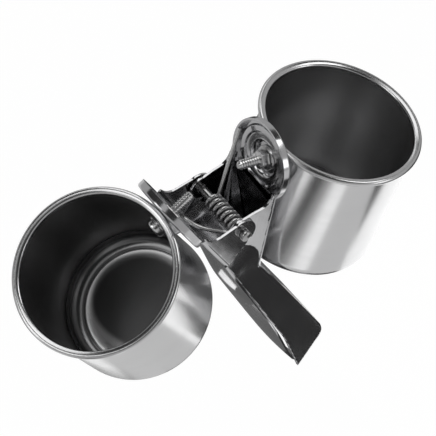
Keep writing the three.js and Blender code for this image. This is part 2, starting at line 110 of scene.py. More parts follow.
# Worked out from the sizes
RIM_RADIUS = CUP_RADIUS + RIM_ROLL
PAD_FACE = -PIN_OFFSET - PAD_DEPTH
BOSS_FACE = PAD_FACE - RIM_ROLL
CUP_AXIS = PAD_FACE - SHEET - SEAT - RIM_RADIUS
HOLE_RADIUS = BOLT_RADIUS + RUN
PIN_HOLE_RADIUS = PIN_RADIUS + RUN
BOLT_TIP = BOSS_FACE + BOLT_REACH
NUT_SEAT = BOSS_FACE + 2 * SEAT + WASHER_THICKNESS
NUT_FACE = NUT_SEAT + NUT_HEIGHT
WASHER_FACE = CUP_AXIS + sqrt((CUP_RADIUS - CUP_WALL) ** 2 - WASHER_RADIUS ** 2) - SEAT
GRIP_HEIGHT = PAD_HEIGHT / cos(LEAN)
OUTER_SKIN = -PIN_OFFSET - SHEET
JAW_ANGLE = 2 * LEAN

# The pressed sheet, in millimetres: ears that lean in, and the lips that lead from them to the pads
EDGE_ROUNDING = 0.25
EAR_TOE_IN = 0.04
INNER_EAR_TOE_IN = 0.055
LIP_RISE = 7.5
LIP_CURVE = [(1.0, 7.5), (1.5, 5.0), (2.6, 2.8), (4.3, 1.2), (6.6, 0.2), (9.5, -0.7)]
GUTTER_LEAD = 2.0
FLANGE_CELL = 0.8

# The pad's pressed groove and the rounding of its boss
PAD_CORNER = 1.3
PAD_GROOVE = (13.2, 14.0, 15.6, 16.4)
PAD_GROOVE_DEPTH = 0.7
BOSS_EDGE = 0.5
BOSS_FILLET = 0.4
BOSS_FOOT_EDGE = 0.2

# The right handle: its sides flare, reach the left handle's edge and run past the narrowing tongue
INNER_HANDLE_LENGTH = 73.5
INNER_FLANGE_LEAD = 9.5
INNER_FLANGE_CORNER = 6.5
EDGE_GAP = 0.15
EDGE_OVERLAP = 3.0
OVERLAP_START = -90.0
OVERLAP_REACH = 24.0
FLARE_SLOPE = 0.135
FLARE_EASE = 12.0

# The line where the right lever's ear turns into the side of its handle
SHOULDER = [(-0.4, -8.7), (-4.4, -9.9), (-7.8, -11.2), (-10.7, -13.3), (-12.8, -15.9), (-14.1, -19.3)]
SHOULDER_START = (14, -6)
SHOULDER_RUN = 90

# The cup's base, rim and floor, in millimetres
BASE_RISE = 0.6
BASE_STEP_INNER = 3.0
BASE_STEP_OUTER = 2.0
RIM_NECK = 0.2
BEAD_START = radians(-150)
BEAD_END = radians(112)
CUP_LIP_RADIUS = 1.5
CUP_LIP_DROP = 1.7
CUP_LIP_START = radians(115)
FLOOR_CORNER = 7.0
FLOOR_RING_RADIUS = 29.1
FLOOR_RING_WIDTH = 1.0
FLOOR_RING_EDGE = 0.3
FLOOR_RING_ROUNDING = 0.1
FLOOR_HOLLOW = 0.5
FLOOR_HOLLOW_WIDTH = 5.0

# Small work on the fasteners and the spring, in millimetres
THREAD_PITCH = 1.35
THREAD_DEPTH = 0.55
THREAD_START = 0.3
THREAD_STOP = 1.3
THREAD_RELIEF = 0.4
BOLT_CHAMFER = 0.5
HEAD_CORNER = 1.4
HEAD_CROWN = 0.2
NUT_CHAMFER = 0.35
WASHER_CHAMFER = 0.2
PIN_HEAD_TAPER = 0.3
PIN_HEAD_ROUNDING = [(0.0, 0.7), (0.25, 0.3), (0.8, 0.0)]
RIM_LEG_LIFT = Vector((-0.6, 0.3, 3.0))
RIM_LEG_END = Vector((-14.4, 15.2, 32.0))

# Steps round the turned pieces, the thread and the spring
CUP_SEGMENTS = 160
PAD_SEGMENTS = 96
BOLT_SEGMENTS = 40
WASHER_SEGMENTS = 48
THREAD_STEPS = 20
COIL_STEPS = 32
LEG_STEPS = 12

# Steels: a streak is how fast the working lines change, per millimetre along each axis
CUP_STEEL = {"color": (0.71, 0.71, 0.715), "roughness": 0.2, "streak": (0.02, 0.02, 1.2)}
PAD_STEEL = {"color": (0.66, 0.66, 0.67), "roughness": 0.14, "streak": (0.6, 0.6, 0.03)}
PLATE_STEEL = {**PAD_STEEL, "roughness": 0.12, "grain": 0.005, "waves": 0.00006}
ZINC = {"color": (0.86, 0.86, 0.86), "roughness": 0.2, "streak": (1, 1, 1)}
PIN_STEEL = {"color": (0.45, 0.45, 0.45), "roughness": 0.2, "streak": (0.2, 2, 0.2)}
WIRE_STEEL = {"color": (0.62, 0.62, 0.62), "roughness": 0.24, "streak": (1, 1, 1)}
SMEARS = (0.05, 0.05, 0.05)
PRESS_WAVES = (0.11, 0.11, 0.11)

# How deep the steel's lines are, in metres, and how lines and smears change its tone and polish
LINE_DEPTH = 0.0002
LINE_GRAIN = 0.02
SMEAR_TONE = 0.86
SMEAR_SHARE = 0.5
LINE_SHARE = 0.3
SMEAR_POLISH = 0.08
LINE_POLISH = 0.048

# Inside the cups: how light the painted shade leaves the wall, the corner and the floor, with a
# painted highlight on the floor's ring, and where each of them starts
CUP_PAINTED_SHADE = {"left": (0.62, 0.4, 0.2), "right": (0.76, 0.76, 0.7)}
HOLLOW_BOTTOM = 0.8
RIM_SHADE = (CUP_HEIGHT - 1.2, CUP_HEIGHT - 3.5)
CORNER_SHADE = (9.0, 6.0)
RING_SHADE = (FLOOR_RING_RADIUS + 0.2, FLOOR_RING_RADIUS)
FLOOR_SHADE = (FLOOR_RING_RADIUS, FLOOR_RING_RADIUS - 3.6)
INSIDE_ROUGHNESS = 0.12
FLOOR_POLISH = 0.8

# The painted highlight on the edge of a cup's floor is widest on the side away from this turn
SHEEN_TURN = radians(15)
SHEEN_SPREAD = 7.5
SHEEN_FALL = 4.0

# The view of the photograph: place in metres, lens and sensor in millimetres
CAMERA_PLACE = (-0.2901, -0.6058, 0.7875)
CAMERA_AZIMUTH = radians(-25.42)
CAMERA_ELEVATION = radians(50.67)
CAMERA_ROLL = radians(-11.14)
CAMERA_LENS = 187.9
CAMERA_SENSOR = 36
CAMERA_NEAR = 0.05

# Studio: sizes in metres, and how bright its parts are
FLOOR_DROP = 0.45
FLOOR_SIZE = 4.0
FLOOR_PAINT = 0.9
FLOOR_GLOW = 1.15
FLOOR_WHITE = 0.85
CARD_LIFT = 0.004
TENT_RADIUS = 1.9
TENT_TOP = 1.1
TENT_TONE = 0.42
TENT_SEGMENTS = 64
CEILING = 2.4
CEILING_TONE = 0.035


def make_camera():
    """The camera, fitted to the photograph."""
    camera = bpy.data.objects.new("camera", bpy.data.cameras.new("camera"))
    camera.data.lens = CAMERA_LENS
    camera.data.sensor_width = CAMERA_SENSOR
    camera.data.clip_start = CAMERA_NEAR
    turn = Matrix.Rotation(CAMERA_AZIMUTH, 4, "Z")
    tilt = Matrix.Rotation(pi / 2 - CAMERA_ELEVATION, 4, "X")
    roll = Matrix.Rotation(CAMERA_ROLL, 4, "Z")
    camera.matrix_world = Matrix.Translation(CAMERA_PLACE) @ turn @ tilt @ roll
    bpy.context.collection.objects.link(camera)
    bpy.context.scene.camera = camera


make_camera()


# Where things stand
def lever_place(side):
    """A lever's frame at the pivot: X inwards, Y along the pin and Z up the lever."""
    lift = Matrix.Translation((0, 0, -GRIP_HEIGHT))
    if side == "left":
        return lift @ Matrix.Rotation(-LEAN, 4, "Y")
    return lift @ Matrix.Rotation(LEAN, 4, "Y") @ Matrix.Rotation(pi, 4, "Z")


def bolt_place(side):
    """A lever's frame raised to the axis of its bolt."""
    return lever_place(side) @ Matrix.Translation((0, 0, PAD_HEIGHT))


def cup_place(side):
    """A cup's frame: its base at the origin and its mouth up Z."""
    swing = Matrix.Rotation(CUP_TURN[side], 4, "X")
    drop = Matrix.Translation((0, 0, BOLT_DROP - CUP_HEIGHT))
    return lever_place(side) @ Matrix.Translation((CUP_AXIS, 0, PAD_HEIGHT)) @ swing @ drop


# Materials
class Socket:
    """A value in a material: arithmetic on it adds Math nodes."""

    def __init__(self, finish, link):
        self.finish = finish
        self.link = link

    def math(self, operation, *others):
        """The result of one Math node."""
        values = {i + 1: other for i, other in enumerate(others)}
        return self.finish.node("ShaderNodeMath", {"operation": operation}, {0: self, **values})

    def fade(self, start, end):
        """A mask that rises softly from 0 at the start to 1 at the end."""
        return self.finish.node(
            "ShaderNodeMapRange",
            {"interpolation_type": "SMOOTHSTEP"},
            {"Value": self, "From Min": start, "From Max": end, "To Min": 0.0, "To Max": 1.0},
        )

    def __add__(self, other):
        return self.math("ADD", other)

    __radd__ = __add__

    def __mul__(self, other):
        return self.math("MULTIPLY", other)

    __rmul__ = __mul__

    def __sub__(self, other):
        return self.math("SUBTRACT", other)

    def __rsub__(self, other):
        return self * -1 + other

    def __truediv__(self, other):
        return self.math("DIVIDE", other)

    def __pow__(self, other):
        return self.math("POWER", other)


class Finish:
    """A material, or the world, under construction."""

    def __init__(self, material, shader="Principled BSDF"):
        self.material = material
        self.material.use_nodes = True
        self.tree = self.material.node_tree
        self.shader = self.tree.nodes[shader]

    def node(self, kind, settings, inputs, output=0):
        """A new node's output, with its settings made first and its sockets fed after them."""
        node = self.tree.nodes.new(kind)
        for key, value in settings.items():
            setattr(node, key, value)
        for key, value in inputs.items():
            self.put(node.inputs[key], value)
        return Socket(self, node.outputs[output])

    def mix(self, share, first, second):
        """A colour between two colours."""
        return self.node("ShaderNodeMix", {"data_type": "RGBA"}, {0: share, 6: first, 7: second}, 2)

    def put(self, socket, value):
        """Links a socket, or sets its value."""
        if isinstance(value, Socket):
            self.tree.links.new(value.link, socket)
        else:
            socket.default_value = value

    def set(self, **values):
        """Feeds the sockets of the shader."""
        for key, value in values.items():
            self.put(self.shader.inputs[key.replace("_", " ")], value)


def local_coordinates(finish, place, stretch):
    """Millimetres in a piece's own frame, stretched to give streaks."""
    in_metres = place.copy()
    in_metres.translation = place.to_translation() * MILLIMETRE
    back = in_metres.inverted()
    at = finish.node("ShaderNodeTexCoord", {}, {}, "Object")
    turned = finish.node(
        "ShaderNodeMapping",
        {"vector_type": "POINT"},
        {"Vector": at, "Location": back.to_translation(), "Rotation": back.to_euler("XYZ")},
    )
    return finish.node(
        "ShaderNodeMapping",
        {"vector_type": "POINT"},
        {"Vector": turned, "Scale": [share / MILLIMETRE for share in stretch]},
    )


def noise(finish, place, stretch, detail):
    """A soft pattern in a piece's own frame."""
    at = local_coordinates(finish, place, stretch)
    return finish.node("ShaderNodeTexNoise", {}, {"Vector": at, "Scale": 1.0, "Detail": detail})


def steel(name, place, color, roughness, streak, grain=LINE_GRAIN, waves=0.0, inside=None):
    """Bright steel with faint working lines, uneven polish and a few soft smears; inside a cup,
    painted shade with a painted highlight on its floor.
    """
    finish = Finish(bpy.data.materials.new(name))
    lines = noise(finish, place, streak, 4.0)
    smears = noise(finish, place, SMEARS, 2.0)
    relief = {"Strength": grain, "Distance": LINE_DEPTH, "Height": lines}
    bump = finish.node("ShaderNodeBump", {}, relief, "Normal")
    if waves:
        press = noise(finish, place, PRESS_WAVES, 1.0)
        relief = {"Strength": 1.0, "Distance": waves, "Height": press, "Normal": bump}
        bump = finish.node("ShaderNodeBump", {}, relief, "Normal")
    dull = [part * SMEAR_TONE for part in color]
    tint = finish.mix(smears * SMEAR_SHARE + lines * LINE_SHARE, (*color, 1), (*dull, 1))
    rough = (smears - 0.5) * SMEAR_POLISH + (lines - 0.5) * LINE_POLISH + roughness
    # Inside a cup: painted shade darkens the colour, with a painted highlight on the floor's ring, and
    # the roughness rises
    if inside:
        within, shade = cup_hollow_painted_shade(finish, place, *inside)
        tint = finish.mix(shade, (0, 0, 0, 1), tint)
        rough = rough + within * INSIDE_ROUGHNESS
    finish.set(Base_Color=tint, Metallic=1.0, Normal=bump, Roughness=rough)
    return finish.material


def cup_hollow_painted_shade(finish, place, wall, corner, floor):
    """Where a cup's inside is dull, below its rim, and the painted shade on its wall, corner and
    floor, with a painted highlight on the floor's ring.
    """
    at = local_coordinates(finish, place, (1, 1, 1))
    x, y, z = [finish.node("ShaderNodeSeparateXYZ", {}, {"Vector": at}, i) for i in range(3)]
    radius = (x * x + y * y).math("SQRT")
    inside = (CUP_RADIUS - CUP_WALL / 2 - radius).math("GREATER_THAN", 0.0)
    above = z.math("GREATER_THAN", HOLLOW_BOTTOM)
    hollow = inside * above * z.fade(*RIM_SHADE)
    low = z.fade(*CORNER_SHADE)
    ring = radius.fade(*RING_SHADE)
    # The painted highlight on the floor's ring spreads widest on the side away from the sheen's turn
    away = (x * cos(SHEEN_TURN) + y * sin(SHEEN_TURN)) / radius
    sheen = ((1.0 - away) * 0.5) ** SHEEN_FALL * SHEEN_SPREAD
    flat = (radius + sheen).fade(*FLOOR_SHADE)
    # Painted shade: wall, corner and floor are darkened, and the floor's ring is painted back to full
    # brightness as a painted highlight
    tone = low * (corner - wall) + low * ring * (1.0 - corner) + low * flat * (floor - 1.0) + wall
    return hollow * (1.0 - low * FLOOR_POLISH), 1.0 - hollow * (1.0 - tone)


# Mesh helpers
def ngon(mesh, points):
    """One flat face through the points."""
    return mesh.faces.new([mesh.verts.new(point) for point in points])


def arc(centre, radius, start, end, steps):
    """Points on a circle, in a plane of two axes."""
    turns = [start + (end - start) * i / steps for i in range(steps + 1)]
    return [(centre[0] + radius * cos(a), centre[1] + radius * sin(a)) for a in turns]


def turned_shape(profile, steps, axis="Z"):
    """A profile of radius and height, spun round the Z axis, or round X for a piece on a bolt."""
    mesh = bmesh.new()
    if axis == "Z":
        verts = [mesh.verts.new((radius, 0, height)) for radius, height in profile]
        about = (0, 0, 1)
    else:
        verts = [mesh.verts.new((height, 0, radius)) for radius, height in profile]
        about = (1, 0, 0)
    edges = [mesh.edges.new(pair) for pair in zip(verts, verts[1:])]
    bmesh.ops.spin(
        mesh,
        geom=verts + edges,
        cent=(0, 0, 0),
        axis=about,
        angle=2 * pi,
        steps=steps,
        use_merge=True,
    )
    bmesh.ops.remove_doubles(mesh, verts=mesh.verts, dist=1e-4)
    bmesh.ops.recalc_face_normals(mesh, faces=mesh.faces)
    return mesh


def grid_rows(mesh, rows):
    """A skin through rows of points, each row extruded from the one before it."""
    verts = [mesh.verts.new(point) for point in rows[0]]
    edges = [mesh.edges.new(pair) for pair in zip(verts, verts[1:])]
    for row in rows[1:]:
        made = bmesh.ops.extrude_edge_only(mesh, edges=edges)["geom"]
        edges = [item for item in made if isinstance(item, bmesh.types.BMEdge)]
        edges = [edge for edge in edges if all(vert not in verts for vert in edge.verts)]
        new_verts = []
        for vert in verts:
            for link in vert.link_edges:
                other = link.other_vert(vert)
                if any(other in edge.verts for edge in edges) and other not in new_verts:
                    new_verts.append(other)
                    break
        for vert, point in zip(new_verts, row):
            vert.co = point
        edges = [mesh.edges.get(pair) for pair in zip(new_verts, new_verts[1:])]
        verts = new_verts


def moved_verts(mesh, made, move):
    """Moves the vertices that an extrusion made."""
    verts = [item for item in made["geom"] if isinstance(item, bmesh.types.BMVert)]
    bmesh.ops.translate(mesh, verts=verts, vec=move)


def add_object(mesh, name):
    """An object at the origin that holds a finished mesh."""
    data = bpy.data.meshes.new(name)
    mesh.to_mesh(data)
    mesh.free()
    made = bpy.data.objects.new(name, data)
    bpy.context.collection.objects.link(made)
    return made


def add_piece(mesh, name, node, body, place, material, wall=0.0, edge=0.0, sharp=35):
    """The finished piece, in its place on a body, or, for a piece between two bodies, left unattached
    with its place baked in.
    """
    bmesh.ops.transform(mesh, matrix=Matrix.Scale(MILLIMETRE, 4) @ place, verts=mesh.verts)
    piece = add_object(mesh, name)
    data = piece.data
    data.polygons.foreach_set("use_smooth", [True] * len(data.polygons))
    data.set_sharp_from_angle(angle=radians(sharp))
    data.materials.append(material)
    if wall:
        solid = piece.modifiers.new("wall", "SOLIDIFY")
        solid.thickness = wall * MILLIMETRE
        solid.offset = -1
        solid.use_even_offset = True
    if edge:
        rounded = piece.modifiers.new("edges", "BEVEL")
        rounded.width = edge * MILLIMETRE
        rounded.segments = 2
        rounded.limit_method = "ANGLE"
        rounded.angle_limit = radians(40)
        rounded.use_clamp_overlap = True
        piece.modifiers.new("normals", "WEIGHTED_NORMAL")
    if isinstance(body, str):
        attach(piece, body)
    else:
        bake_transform(piece)
    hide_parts(node)


# Cups
def cup_profile():
    """Half a cup in section: up the outside, round the rolled rim, and down to the dished floor."""
    inside = CUP_RADIUS - CUP_WALL
    corner = CUP_RADIUS - CUP_CORNER
    bead = (RIM_RADIUS - RIM_BEAD, CUP_HEIGHT - RIM_BEAD)
    outer = [(0, BASE_RISE), (corner - BASE_STEP_INNER, BASE_RISE), (corner - BASE_STEP_OUTER, 0.0)]
    outer += arc((corner, CUP_CORNER), CUP_CORNER, -pi / 2, 0, 14)
    outer += [(CUP_RADIUS, CUP_HEIGHT - 2 * RIM_BEAD - RIM_NECK)]
    rim = arc(bead, RIM_BEAD, BEAD_START, BEAD_END, 18)
    lip_centre = (inside + CUP_LIP_RADIUS, CUP_HEIGHT - CUP_LIP_DROP)
    lip = arc(lip_centre, CUP_LIP_RADIUS, CUP_LIP_START, pi, 5)
    floor = arc((inside - FLOOR_CORNER, CUP_WALL + FLOOR_CORNER), FLOOR_CORNER, 0, -pi / 2, 14)
    top = CUP_WALL + FLOOR_RING_STEP
    ring_end = FLOOR_RING_RADIUS - FLOOR_RING_WIDTH
    step = [
        (FLOOR_RING_RADIUS, CUP_WALL),
        (FLOOR_RING_RADIUS - FLOOR_RING_EDGE, CUP_WALL + FLOOR_RING_ROUNDING),
        (ring_end + FLOOR_RING_EDGE, top - FLOOR_RING_ROUNDING),
        (ring_end, top),
    ]
    hollow = []
    for i in range(1, 11):
        share = i / 10
        sunk = FLOOR_HOLLOW * (2 * share - share * share)
        hollow.append((ring_end - FLOOR_HOLLOW_WIDTH * share, top - sunk))
    return outer + rim + lip + floor + step + hollow + [(0, top - FLOOR_HOLLOW)]


def make_cups():
    """Both cups, each on its own swivel."""
    for side in SIDES:
        place = cup_place(side)
        # Each cup's polished steel carries painted shade and a painted highlight inside the cup
        material = steel(f"{side}_cup_polish_and_painted_shade", place, **CUP_STEEL, inside=CUP_PAINTED_SHADE[side])
        mesh = turned_shape(cup_profile(), CUP_SEGMENTS)
        add_piece(mesh, f"{side}_cup_shell", f"{side}_cup", CUP[side], place, material)


# Levers
def dish_profile():
    """Outer skin of a pad, from its bolt hole to its rim."""
    back = PAD_FACE - SHEET
    boss_back = BOSS_FACE - SHEET
    boss_side = BOSS_RADIUS + SHEET
    boss_foot = boss_side + BOSS_DRAFT
    boss = [
        (HOLE_RADIUS, boss_back),
        (boss_side - BOSS_EDGE, boss_back),
        (boss_side, boss_back + BOSS_FILLET),
        (boss_foot - BOSS_FOOT_EDGE, back - BOSS_FILLET),
        (boss_foot + BOSS_FILLET, back),
    ]
    rises = (0, PAD_GROOVE_DEPTH, PAD_GROOVE_DEPTH, 0)
    groove = [(radius, back + rise) for radius, rise in zip(PAD_GROOVE, rises)]
    rim = arc((PAD_RADIUS - PAD_CORNER, back + PAD_CORNER), PAD_CORNER, -pi / 2, 0, 8)
    return boss + groove + rim + [(PAD_RADIUS, -PIN_OFFSET)]


def make_pad(side, material):
    """The dished round pad of a lever."""
    mesh = turned_shape(dish_profile(), PAD_SEGMENTS, "X")
    boss = min(mesh.faces, key=lambda face: face.calc_center_median().x)
    if boss.normal.x > 0:
        bmesh.ops.reverse_faces(mesh, faces=mesh.faces)
    add_piece(
        mesh,
        f"{side}_pad",
        f"{side}_lever",
        JAW[side],
        bolt_place(side),
        material,
        SHEET,
        EDGE_ROUNDING,
    )


def handle_edge(z):
    """How far out the left handle's edges are at a height."""
    return OUTER_SKIN - HANDLE_SLOPE * max(0.0, HANDLE_BEND - z)


def pad_cut(half_width):
    """The edge of a lever's flat round its pad, as points of Y and Z from one side to the other."""
    cut = PAD_RADIUS - SHEET / 2
    reach = min(1.0, half_width / cut)
    start = -pi / 2 + acos(sqrt(1 - reach * reach))
    return arc((0, PAD_HEIGHT), cut, start, -pi - start, 40)


def add_flange(mesh, outlines, half_width, sign, turn, bulge):
    """A pressed side of a lever, from flat outlines that share edges, cut fine and then bulged."""
    side = bmesh.new()
    for outline in outlines:
        ngon(side, [(x, 0, z) for x, z in outline])
    for axis in (Vector((cos(turn), 0, -sin(turn))), Vector((sin(turn), 0, cos(turn)))):
        reach = [vert.co.dot(axis) for vert in side.verts]
        cut = min(reach) + FLANGE_CELL
        while cut < max(reach):
            parts = side.verts[:] + side.edges[:] + side.faces[:]
            bmesh.ops.bisect_plane(side, geom=parts, dist=1e-3, plane_co=axis * cut, plane_no=axis)
            cut += FLANGE_CELL
    bmesh.ops.remove_doubles(side, verts=side.verts, dist=0.02)
    for vert in side.verts:
        vert.co.y = sign * (half_width + bulge(vert.co.x, vert.co.z))
    copy = bpy.data.meshes.new("flange")
    side.to_mesh(copy)
    side.free()
    mesh.from_mesh(copy)
    bpy.data.meshes.remove(copy)


def ear_outlines(fold_x, radius, last, rest):
    """An ear in two halves, split through its pin hole: rest leads from the lower arc to the fold."""
    lip = [(fold_x + out, EAR_TOP + up) for out, up in [(0, LIP_RISE), *LIP_CURVE]]
    upper = [(fold_x, 0.0), *lip] + arc((0, 0), radius, pi / 2, 0, 14)
    upper += arc((0, 0), PIN_HOLE_RADIUS, 0, pi, 14)
    lower = arc((0, 0), radius, 0, last, 18) + rest + [(fold_x, 0.0)]
    lower += arc((0, 0), PIN_HOLE_RADIUS, pi, 2 * pi, 14)
    return [upper, lower]


def add_fold(mesh, half_width, sign, low, high):
    """The bend between a lever's flat and one of its sides."""
    bend_y = half_width - BEND_RADIUS
    centre = OUTER_SKIN + BEND_RADIUS
    turns = [-pi / 2 + pi / 2 * i / 8 for i in range(9)]
    bends = [(centre + BEND_RADIUS * sin(a), sign * (bend_y + BEND_RADIUS * cos(a))) for a in turns]
    grid_rows(mesh, [[(x, y, low), (x, y, high)] for x, y in bends])


def face_outwards(mesh):
    """Turns a lever's skin so that its faces point away from the pivot."""
    bmesh.ops.remove_doubles(mesh, verts=mesh.verts, dist=1e-3)
    bmesh.ops.recalc_face_normals(mesh, faces=mesh.faces)
    away = sum(face.calc_center_median().dot(face.normal) * face.calc_area() for face in mesh.faces)
    if away < 0:
        bmesh.ops.reverse_faces(mesh, faces=mesh.faces)


def gutter_rows():
    """Rows across the left handle's skin, from its flat top to the rounded tip of its tongue."""
    across = [i / 12 - 1 for i in range(25)]
    heights = [GUTTER_TOP + GUTTER_LEAD]
    heights += [GUTTER_TOP + (GUTTER_FULL - GUTTER_TOP) * i / 14 for i in range(15)]
    length = TONGUE_START - HANDLE_END
    heights += [TONGUE_START - length * sin(pi / 2 * i / 28) for i in range(29)]
    tip_angle = acos(TONGUE_TIP_HALF_WIDTH / OUTER_HALF_WIDTH)
    rows = []
    for z in heights:
        share = min(1.0, max(0.0, (GUTTER_TOP - z) / (GUTTER_TOP - GUTTER_FULL)))
        tongue = max(0.0, TONGUE_START - z) / length
        lift = 1 - TONGUE_TIP_LIFT * tongue ** 4
        depth = GUTTER_DEPTH * share * share * (3 - 2 * share) * lift
        rounding = sqrt(1 - TONGUE_TIP_ROUNDING * tongue ** 10)
        half = OUTER_HALF_WIDTH * cos(tip_angle * tongue) * rounding
        floor = [handle_edge(z) - depth * (1 - (half * a / OUTER_HALF_WIDTH) ** 2) for a in across]
        rows.append([(x, half * a, z) for x, a in zip(floor, across)])
    return rows


def outer_bulge(x, z):
    """How far an ear of the left lever stands out: it leans inwards from its fold."""
    return -EAR_TOE_IN * (x - OUTER_SKIN - BEND_RADIUS)


def make_outer_lever(material):
    """The left lever's sheet: ears, flat and gutter-shaped handle."""
    mesh = bmesh.new()
    rows = gutter_rows()
    grid_rows(mesh, rows)
    bend_y = OUTER_HALF_WIDTH - BEND_RADIUS
    fold_x = OUTER_SKIN + BEND_RADIUS
    side = [(-bend_y, EAR_FOOT), (-OUTER_HALF_WIDTH, EAR_FOOT)]
    near_side = [(OUTER_SKIN, y, z) for y, z in side]
    far_side = [(OUTER_SKIN, -y, z) for y, z in reversed(side)]
    flat = [(OUTER_SKIN, y, z) for y, z in pad_cut(bend_y)]
    ngon(mesh, flat + near_side + rows[0] + far_side)
    ear = ear_outlines(fold_x, EAR_RADIUS, -pi / 2, [(fold_x, EAR_FOOT)])
    for sign in (-1, 1):
        add_fold(mesh, OUTER_HALF_WIDTH, sign, EAR_FOOT, EAR_TOP + LIP_RISE)
        add_flange(mesh, ear, OUTER_HALF_WIDTH, sign, 0.0, outer_bulge)
    face_outwards(mesh)
    add_piece(
        mesh,
        "left_lever_sheet",
        "left_lever",
        JAW["left"],
        lever_place("left"),
        material,
        SHEET,
        EDGE_ROUNDING,
        sharp=30,
    )


def to_inner_lever(x, z):
    """A point of the left lever's frame seen in the right lever's frame."""
    return (-x * cos(JAW_ANGLE) + z * sin(JAW_ANGLE), x * sin(JAW_ANGLE) + z * cos(JAW_ANGLE))


def inner_edge_point(z):
    """A point on the free edge of the right handle's side, at a height of the left lever."""
    overlap = EDGE_OVERLAP * max(0.0, OVERLAP_START - z) / OVERLAP_REACH
    return to_inner_lever(handle_edge(z) + SHEET + EDGE_GAP - overlap, z)


def knee_stations():
    """Places and turns down the right lever's skin, where it bends into the handle."""
    top = KNEE_HEIGHT + KNEE_RADIUS * tan(JAW_ANGLE / 2)
    centre = OUTER_SKIN - KNEE_RADIUS
    steps = 10
    turns = [-JAW_ANGLE * i / steps for i in range(steps + 1)]
    return [(centre + KNEE_RADIUS * cos(a), top + KNEE_RADIUS * sin(a), a) for a in turns]


def knee_fold():
    """The knee's line where the fold ends and the side starts."""
    return [(x + BEND_RADIUS * cos(a), z + BEND_RADIUS * sin(a)) for x, z, a in knee_stations()]


def shoulder_distance(x, z):
    """Distance of a point below the line where the ear turns into the flared side of the handle."""
    knee = knee_fold()
    end = (knee[-1][0] - SHOULDER_RUN * sin(JAW_ANGLE), knee[-1][1] - SHOULDER_RUN * cos(JAW_ANGLE))
    line = [Vector(point) for point in [SHOULDER_START, *SHOULDER, *knee, end]]
    point = Vector((x, z))
    best = None
    for first, second in zip(line, line[1:]):
        along = second - first
        share = max(0.0, min(1.0, (point - first).dot(along) / along.length_squared))
        offset = point - (first + share * along)
        side = along.x * offset.y - along.y * offset.x
        distance = offset.length if side > 0 else -offset.length
        if best is None or abs(distance) < abs(best):
            best = distance
    return best


def inner_bulge(x, z):
    """How far a side of the right lever stands out: the ear leans in, the handle's side flares out."""
    lean = -INNER_EAR_TOE_IN * max(0.0, x - OUTER_SKIN - BEND_RADIUS)
    below = shoulder_distance(x, z)
    if below <= 0:
        return lean
    return lean * max(0.0, 1 - below / FLARE_EASE) + FLARE_SLOPE * below


def web_rows(stations):
    """Rows across the right lever's web: one fold, the flat and the other fold."""
    bend_y = INNER_HALF_WIDTH - BEND_RADIUS
    fold = arc((bend_y, BEND_RADIUS), BEND_RADIUS, 0, -pi / 2, 6)
    flat = [(bend_y * (1 - i / 4), 0.0) for i in range(1, 8)]
    section = fold + flat + [(-y, h) for y, h in reversed(fold)]
    rows = []
    for x, z, turn in stations:
        rows.append([(x + h * cos(turn), y, z + h * sin(turn)) for y, h in section])
    return rows


def rounded_end(point, web_end, inward, down):
    """A point at the end of the right handle, moved down to the rounded corner of its side."""
    rise = (Vector((point[0], point[2])) - web_end).dot(inward)
    drop = sqrt(max(0.0, INNER_FLANGE_CORNER ** 2 - (INNER_FLANGE_CORNER - rise) ** 2))
    return (point[0] + drop * down.x, point[1], point[2] + drop * down.y)


def handle_side(web_end, inward, down):
    """Outline of a side of the right handle: shoulder, free edge, rounded end and fold."""
    web_height = web_end.x * sin(JAW_ANGLE) + web_end.y * cos(JAW_ANGLE)
    reach = web_height - INNER_FLANGE_LEAD - EAR_FOOT
    free_edge = [inner_edge_point(EAR_FOOT + reach * i / 24) for i in range(25)]
    leads = [INNER_FLANGE_CORNER - (INNER_FLANGE_CORNER - BEND_RADIUS) * i / 4 for i in range(5)]
    ends = [web_end + lead * inward for lead in leads]
    end = [rounded_end((point.x, 0, point.y), web_end, inward, down)[::2] for point in ends]
    fold = list(reversed(knee_fold()))
    return [SHOULDER[0]] + free_edge + end + fold + list(reversed(SHOULDER[1:]))


def make_inner_lever(material):
    """The right lever's sheet: ears, flat and the channel-shaped handle that bends at its knee."""
    mesh = bmesh.new()
    down = Vector((-sin(JAW_ANGLE), -cos(JAW_ANGLE)))
    inward = Vector((cos(JAW_ANGLE), -sin(JAW_ANGLE)))
    knee = knee_stations()
    web_end = Vector(knee[-1][:2]) + down * INNER_HANDLE_LENGTH
    rows = web_rows([(OUTER_SKIN, EAR_TOP, 0.0)] + knee + [(web_end.x, web_end.y, -JAW_ANGLE)])
    rows[-1] = [rounded_end(point, web_end, inward, down) for point in rows[-1]]
    grid_rows(mesh, rows)
    bend_y = INNER_HALF_WIDTH - BEND_RADIUS
    across = [(OUTER_SKIN, bend_y * (i / 4 - 1), EAR_TOP) for i in range(9)]
    flat = [(OUTER_SKIN, y, z) for y, z in pad_cut(bend_y)]
    ngon(mesh, flat + across)
    fold_top = knee_fold()[0]
    ear = ear_outlines(fold_top[0], INNER_EAR_RADIUS, -LEAN - pi / 2, SHOULDER + [fold_top])
    outlines = ear + [handle_side(web_end, inward, down)]
    for sign in (-1, 1):
        add_fold(mesh, INNER_HALF_WIDTH, sign, EAR_TOP, EAR_TOP + LIP_RISE)
        add_flange(mesh, outlines, INNER_HALF_WIDTH, sign, JAW_ANGLE, inner_bulge)
    face_outwards(mesh)
    add_piece(
        mesh,
        "right_lever_sheet",
        "right_lever",
        JAW["right"],
        lever_place("right"),
        material,
        SHEET,
        EDGE_ROUNDING,
        sharp=50,
    )


def make_levers():
    """Both levers and their pads."""
    for side, make in (("left", make_outer_lever), ("right", make_inner_lever)):
        place = lever_place(side)
        make(steel(f"{side}_clip_plate", place, **PLATE_STEEL))
        make_pad(side, steel(f"{side}_pad_plate", place, **PAD_STEEL))


